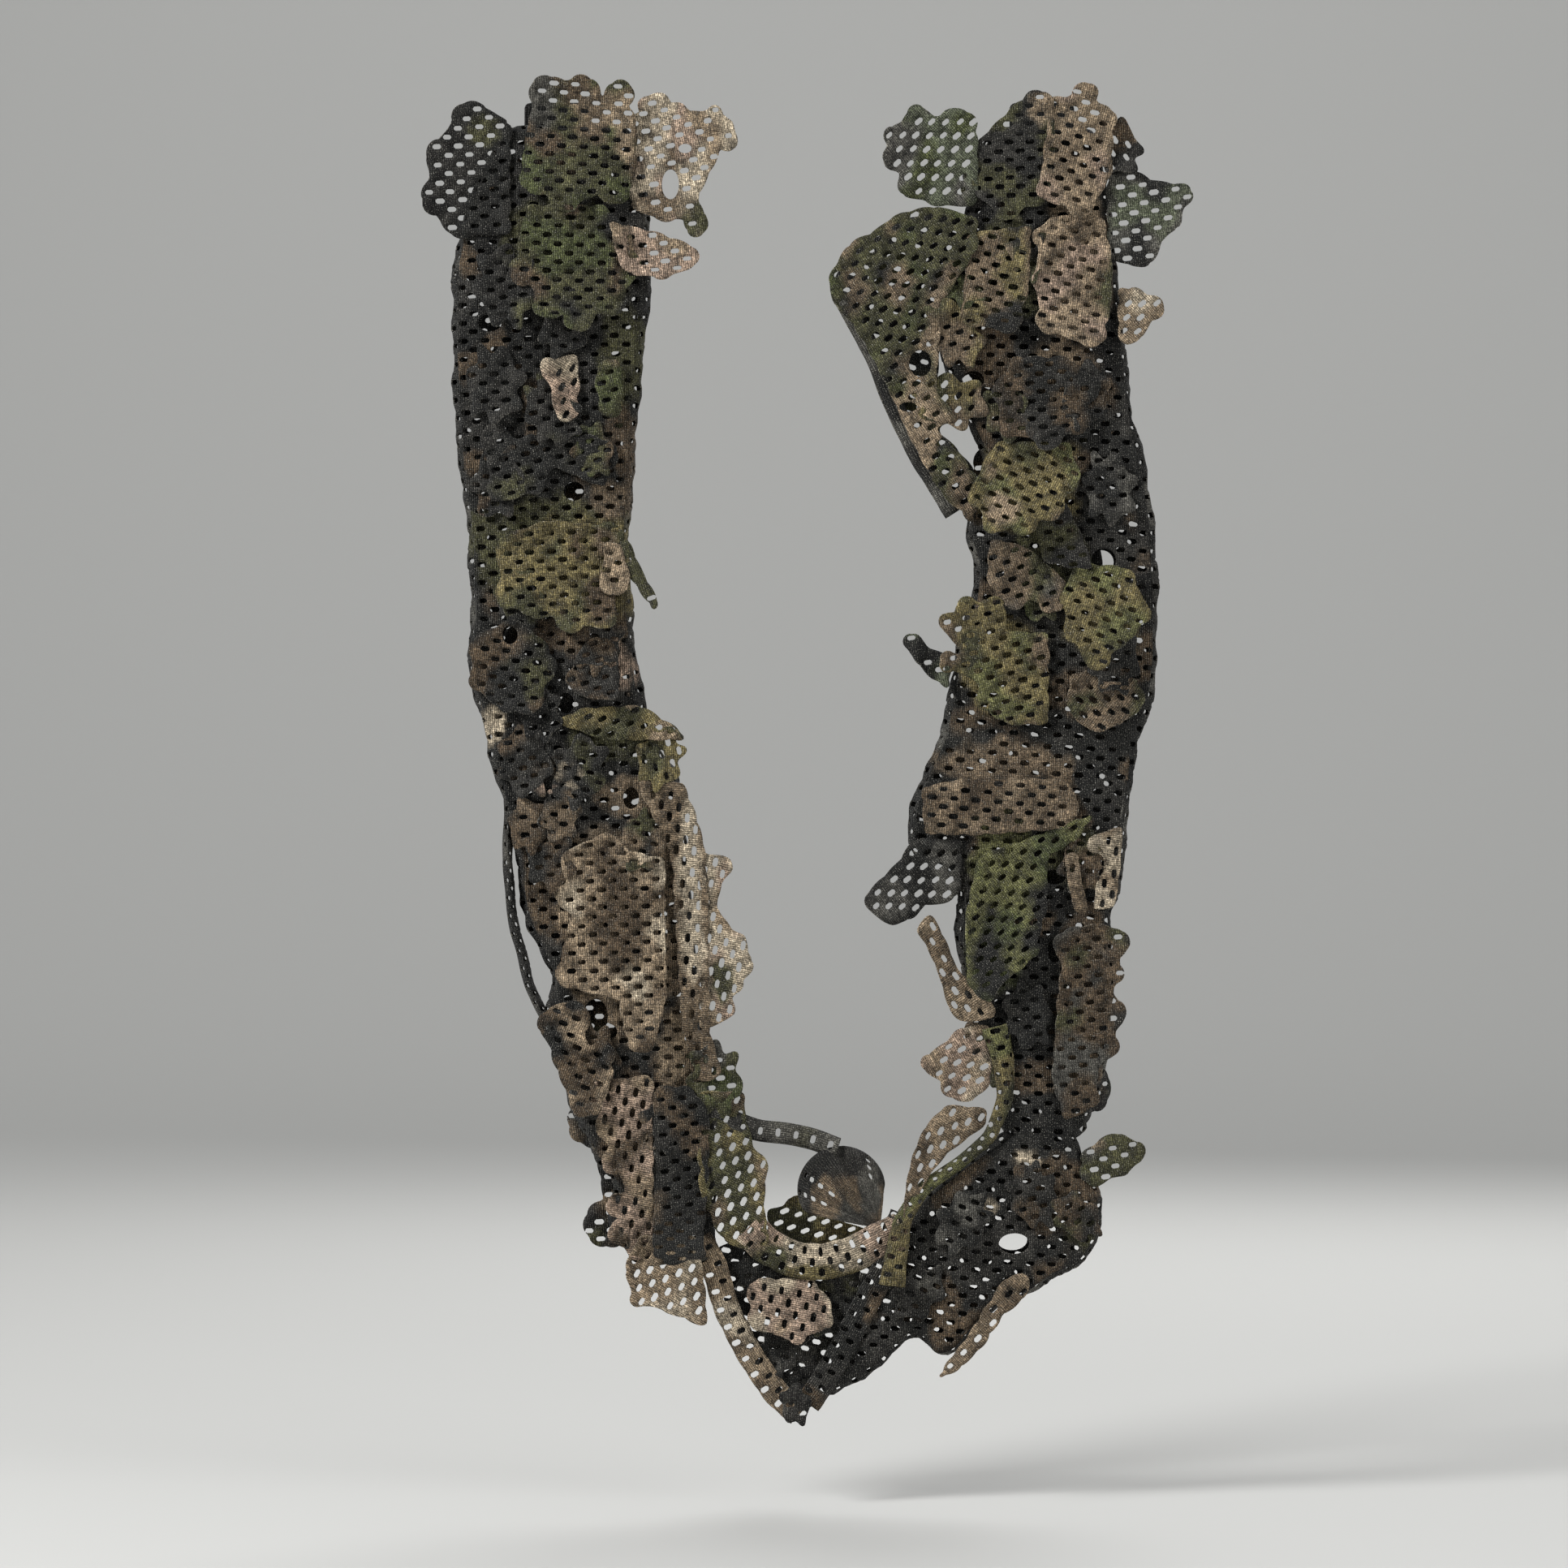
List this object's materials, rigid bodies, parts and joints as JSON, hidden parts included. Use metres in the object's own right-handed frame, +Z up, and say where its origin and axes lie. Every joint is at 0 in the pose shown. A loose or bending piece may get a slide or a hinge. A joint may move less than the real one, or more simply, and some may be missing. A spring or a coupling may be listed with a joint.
{
  "type": "leafy camouflage face mask",
  "caption": "Hanging U-shaped face mask of punched knit net, sewn over with lobed camouflage leaves, that fastens behind a hat brim and gathers to a point at the chin.",
  "frame": {"origin": "midway between the two top ends, on the line where the mask meets the hat brim", "axes": "+X to the mask's right as seen from in front, +Y to the back of the cloth, where the wearer's face is, +Z up"},
  "size_m": [0.2848, 0.0248, 0.4975],
  "materials": {
    "dark_cloth": "napped knit, matt",
    "green_cloth": "napped knit, matt",
    "gold_cloth": "napped knit, matt",
    "tan_cloth": "napped knit, matt",
    "cream_cloth": "napped knit, matt",
    "elastic": "woven elastic, matt",
    "hook_tape": "moulded hook tape, satin"
  },
  "bodies": {
    "tabs": {"end_tabs": "dark_cloth", "hook_patches": "hook_tape"},
    "drape": {"left_upper_front_net": "dark_cloth", "left_upper_back_net": "dark_cloth", "left_crown_leaf": "green_cloth", "left_moss_leaf": "green_cloth", "left_small_leaves": "gold_cloth", "left_gold_leaf": "gold_cloth", "left_bark_leaves": "tan_cloth", "left_olive_wrap": "green_cloth", "right_upper_front_net": "dark_cloth", "right_upper_back_net": "dark_cloth", "right_shoulder_cloth": "green_cloth", "right_dark_top_leaf": "dark_cloth", "right_tan_top_leaf": "tan_cloth", "right_long_tan_leaf": "tan_cloth", "right_dark_leaves": "dark_cloth", "right_small_leaves": "gold_cloth", "outer_folds": "dark_cloth", "inner_folds": "dark_cloth", "edge_elastics": "elastic", "right_edge_hem": "dark_cloth", "upper_back_leaves": "green_cloth"},
    "chin": {"left_lower_front_net": "dark_cloth", "left_lower_back_net": "dark_cloth", "left_slit_hem": "dark_cloth", "left_tan_leaf_low": "tan_cloth", "left_inner_strip": "tan_cloth", "left_lobed_leaf": "tan_cloth", "left_chin_leaves": "tan_cloth", "right_lower_front_net": "dark_cloth", "right_lower_back_net": "dark_cloth", "right_tan_wrap": "tan_cloth", "right_green_leaf_low": "green_cloth", "right_inner_strips": "tan_cloth", "right_outer_leaf": "tan_cloth", "right_hem_leaves": "cream_cloth", "chin_right_front_net": "dark_cloth", "chin_right_back_net": "dark_cloth", "chin_point_net": "tan_cloth", "chin_point_strips": "tan_cloth", "chin_inner_strip": "gold_cloth", "chin_loop": "tan_cloth", "chin_bands": "green_cloth", "chin_twisted_strip": "green_cloth", "lower_back_leaves": "green_cloth"},
    "left_dark_leaf_flap": {"left_dark_leaf": "dark_cloth"},
    "left_tan_leaf_flap": {"left_tan_leaf": "tan_cloth"},
    "right_green_top_leaf_flap": {"right_green_top_leaf": "green_cloth"},
    "right_spiky_leaf_flap": {"right_spiky_leaf": "green_cloth"},
    "right_moss_leaf_flap": {"right_moss_leaf": "gold_cloth"},
    "right_pointing_leaf_flap": {"right_pointing_leaf": "tan_cloth"},
    "right_light_leaf_flap": {"right_light_leaf": "cream_cloth"},
    "left_inner_lobes_flap": {"left_inner_lobes": "green_cloth"},
    "chin_side_lobe_flap": {"chin_side_lobe": "green_cloth"},
    "right_gold_leaf_flap": {"right_gold_leaf": "gold_cloth"},
    "right_yellow_leaf_flap": {"right_yellow_leaf": "gold_cloth"},
    "left_hanging_finger_flap": {"left_hanging_finger": "cream_cloth"},
    "chin_light_leaf_flap": {"chin_light_leaf": "cream_cloth"},
    "chin_thin_leaf_flap": {"chin_thin_leaf": "tan_cloth"}
  },
  "joints": [
    {"name": "drape_swing", "type": "hinge", "parent": "tabs", "child": "drape", "pos_m": [0, 0.0095, 0.034], "axis": [-1, 0, 0], "range_deg": [0, 60]},
    {"name": "chin_fold", "type": "hinge", "parent": "drape", "child": "chin", "pos_m": [0, -0.0011, -0.212], "axis": [-1, 0, 0], "range_deg": [-15, 60]},
    {"name": "left_dark_leaf_lift", "type": "hinge", "parent": "drape", "child": "left_dark_leaf_flap", "pos_m": [-0.11, -0.0079, 0], "axis": [0, 0, 1], "range_deg": [0, 70], "stiffness_Nm_per_rad": 0.0005},
    {"name": "left_tan_leaf_lift", "type": "hinge", "parent": "drape", "child": "left_tan_leaf_flap", "pos_m": [-0.059, -0.0079, 0], "axis": [0, 0, -1], "range_deg": [0, 70], "stiffness_Nm_per_rad": 0.0005},
    {"name": "right_green_top_leaf_lift", "type": "hinge", "parent": "drape", "child": "right_green_top_leaf_flap", "pos_m": [0.062, -0.0093, 0], "axis": [0, 0, 1], "range_deg": [0, 70], "stiffness_Nm_per_rad": 0.0005},
    {"name": "right_spiky_leaf_lift", "type": "hinge", "parent": "drape", "child": "right_spiky_leaf_flap", "pos_m": [0.117, -0.0079, 0], "axis": [0, 0, -1], "range_deg": [0, 70], "stiffness_Nm_per_rad": 0.0005},
    {"name": "right_moss_leaf_lift", "type": "hinge", "parent": "drape", "child": "right_moss_leaf_flap", "pos_m": [0.088, -0.0107, 0], "axis": [0, 0, 1], "range_deg": [0, 70], "stiffness_Nm_per_rad": 0.0005},
    {"name": "right_pointing_leaf_lift", "type": "hinge", "parent": "chin", "child": "right_pointing_leaf_flap", "pos_m": [0.056, -0.0079, 0], "axis": [0, 0, 1], "range_deg": [0, 70], "stiffness_Nm_per_rad": 0.0005},
    {"name": "right_light_leaf_lift", "type": "hinge", "parent": "chin", "child": "right_light_leaf_flap", "pos_m": [0.067, -0.0079, 0], "axis": [0, 0, 1], "range_deg": [0, 70], "stiffness_Nm_per_rad": 0.0005},
    {"name": "left_inner_lobes_lift", "type": "hinge", "parent": "chin", "child": "left_inner_lobes_flap", "pos_m": [-0.033, -0.0093, 0], "axis": [0, 0, -1], "range_deg": [0, 70], "stiffness_Nm_per_rad": 0.0005},
    {"name": "chin_side_lobe_lift", "type": "hinge", "parent": "chin", "child": "chin_side_lobe_flap", "pos_m": [0.107, -0.0079, 0], "axis": [0, 0, -1], "range_deg": [0, 70], "stiffness_Nm_per_rad": 0.0005},
    {"name": "right_gold_leaf_lift", "type": "hinge", "parent": "drape", "child": "right_gold_leaf_flap", "pos_m": [0, -0.0099, -0.098], "axis": [-1, 0, 0], "range_deg": [0, 80]},
    {"name": "right_yellow_leaf_lift", "type": "hinge", "parent": "drape", "child": "right_yellow_leaf_flap", "pos_m": [0, -0.0099, -0.143], "axis": [-1, 0, 0], "range_deg": [0, 80]},
    {"name": "left_hanging_finger_lift", "type": "hinge", "parent": "drape", "child": "left_hanging_finger_flap", "pos_m": [0, -0.0099, -0.134], "axis": [-1, 0, 0], "range_deg": [0, 80]},
    {"name": "chin_light_leaf_lift", "type": "hinge", "parent": "chin", "child": "chin_light_leaf_flap", "pos_m": [0, -0.0071, -0.406], "axis": [-1, 0, 0], "range_deg": [0, 80]},
    {"name": "chin_thin_leaf_lift", "type": "hinge", "parent": "chin", "child": "chin_thin_leaf_flap", "pos_m": [0, -0.0071, -0.404], "axis": [-1, 0, 0], "range_deg": [0, 80]}
  ]
}
